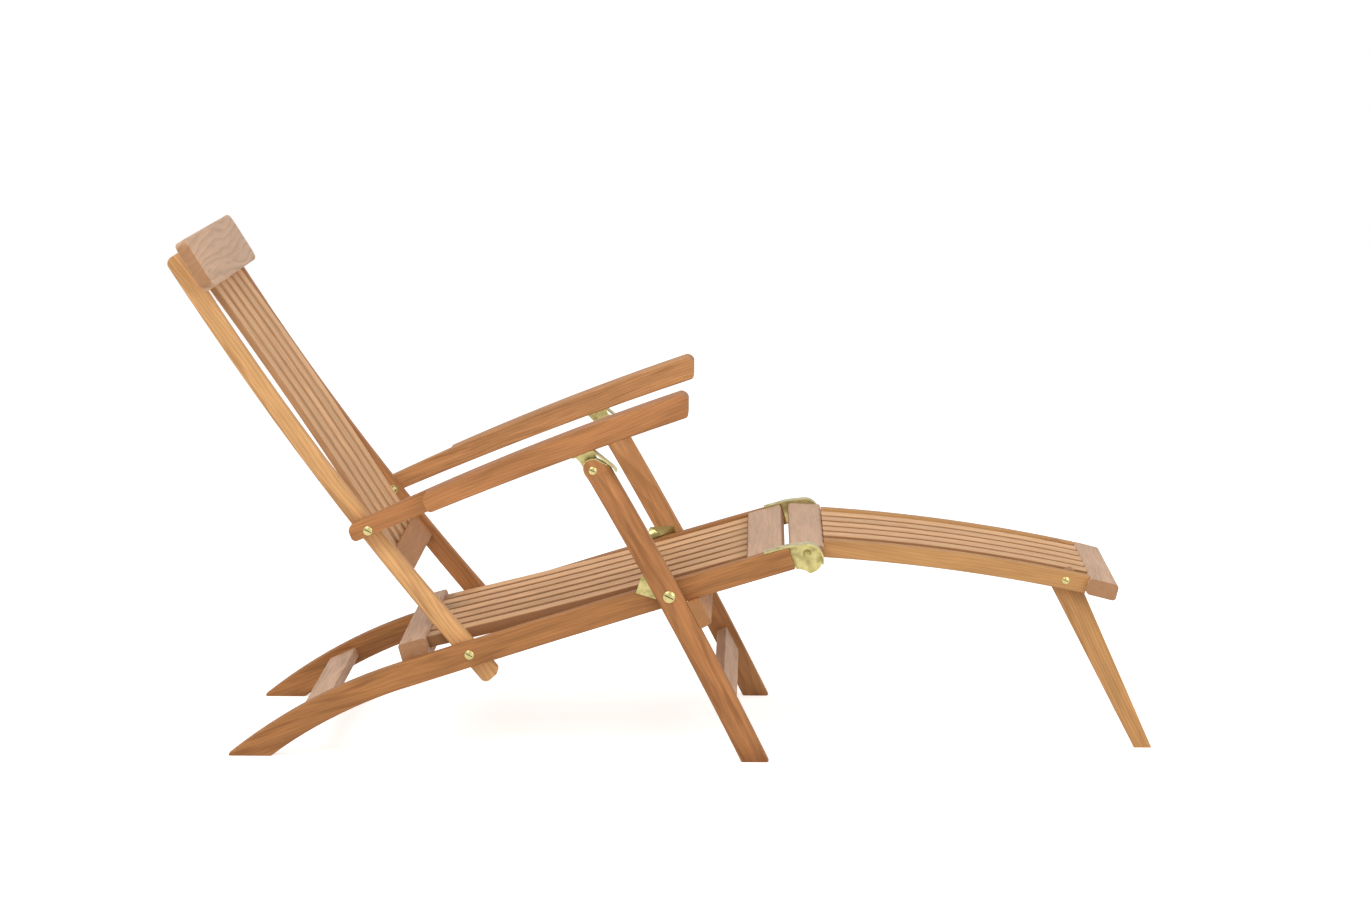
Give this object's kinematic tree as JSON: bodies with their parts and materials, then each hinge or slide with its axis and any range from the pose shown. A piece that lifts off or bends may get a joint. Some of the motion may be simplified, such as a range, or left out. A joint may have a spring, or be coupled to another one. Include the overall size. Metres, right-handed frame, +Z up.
{
  "type": "folding deck chair with leg rest",
  "caption": "Folding slatted teak steamer chair with brass fittings, flat armrests, a reclined back and a fold-down leg rest on prop legs.",
  "frame": {"origin": "on the floor, under the middle of the chair's length and width", "axes": "+X towards the foot end, +Y towards the sitter's left, +Z up"},
  "size_m": [1.6098, 0.569, 0.8485],
  "materials": {
    "teak": "oiled satin",
    "brass": "polished, lightly aged"
  },
  "bodies": {
    "seat_frame": {"seat_rail_left": "teak", "seat_rail_right": "teak", "rear_stretcher": "teak", "seat_rear_board": "teak", "seat_front_board": "teak", "seat_slats": "teak", "stop_bar": "teak", "hinge_bracket_left": "brass", "hinge_bracket_right": "brass", "bracket_screws": "brass", "hinge_pins": "brass", "back_pivot_bolts": "brass", "back_pivot_nuts": "brass", "leg_pivot_bolts": "brass", "leg_pivot_nuts": "brass"},
    "backrest": {"back_stile_left": "teak", "back_stile_right": "teak", "headboard": "teak", "back_lower_rail": "teak", "back_slats": "teak", "back_pivot_washers": "brass", "arm_pivot_bolts": "brass", "arm_pivot_nuts": "brass"},
    "arms": {"arm_left": "teak", "arm_right": "teak", "arm_bracket_left": "brass", "arm_bracket_right": "brass", "arm_bracket_screws": "brass", "arm_pivot_washers": "brass"},
    "front_legs": {"front_leg_left": "teak", "front_leg_right": "teak", "front_stretcher": "teak", "leg_stop_plates": "brass", "leg_top_caps": "brass", "leg_top_screws": "brass", "leg_pivot_washers": "brass"},
    "leg_rest": {"leg_rest_hinge_board": "teak", "leg_rest_rail_left": "teak", "leg_rest_rail_right": "teak", "leg_rest_slats": "teak", "foot_board": "teak", "prop_pivot_bolts": "brass", "prop_pivot_nuts": "brass", "hinge_washers": "brass"},
    "prop_legs": {"prop_leg_left": "teak", "prop_leg_right": "teak", "prop_stretcher": "teak", "prop_pivot_washers": "brass"}
  },
  "joints": [
    {"name": "back_fold", "type": "hinge", "parent": "seat_frame", "child": "backrest", "pos_m": [-0.31895, 0, 0.17012], "axis": [0, 1, 0], "range_deg": [0, 80]},
    {"name": "leg_fold", "type": "hinge", "parent": "seat_frame", "child": "front_legs", "pos_m": [0.00775, 0, 0.27261], "axis": [0, 1, 0], "range_deg": [0, 89]},
    {"name": "arm_fold", "type": "hinge", "parent": "backrest", "child": "arms", "pos_m": [-0.48227, 0, 0.37465], "axis": [0, 1, 0], "range_deg": [-71.5, 0]},
    {"name": "leg_rest_fold", "type": "hinge", "parent": "seat_frame", "child": "leg_rest", "pos_m": [0.23115, 0, 0.33701], "axis": [0, 1, 0], "range_deg": [0, 80]},
    {"name": "prop_fold", "type": "hinge", "parent": "leg_rest", "child": "prop_legs", "pos_m": [0.65653, 0, 0.28495], "axis": [0, 1, 0], "range_deg": [0, 100]}
  ],
  "couplings": [
    {"joint": "leg_fold", "follows": "back_fold", "ratio": 1.11},
    {"joint": "arm_fold", "follows": "back_fold", "ratio": -0.89}
  ]
}
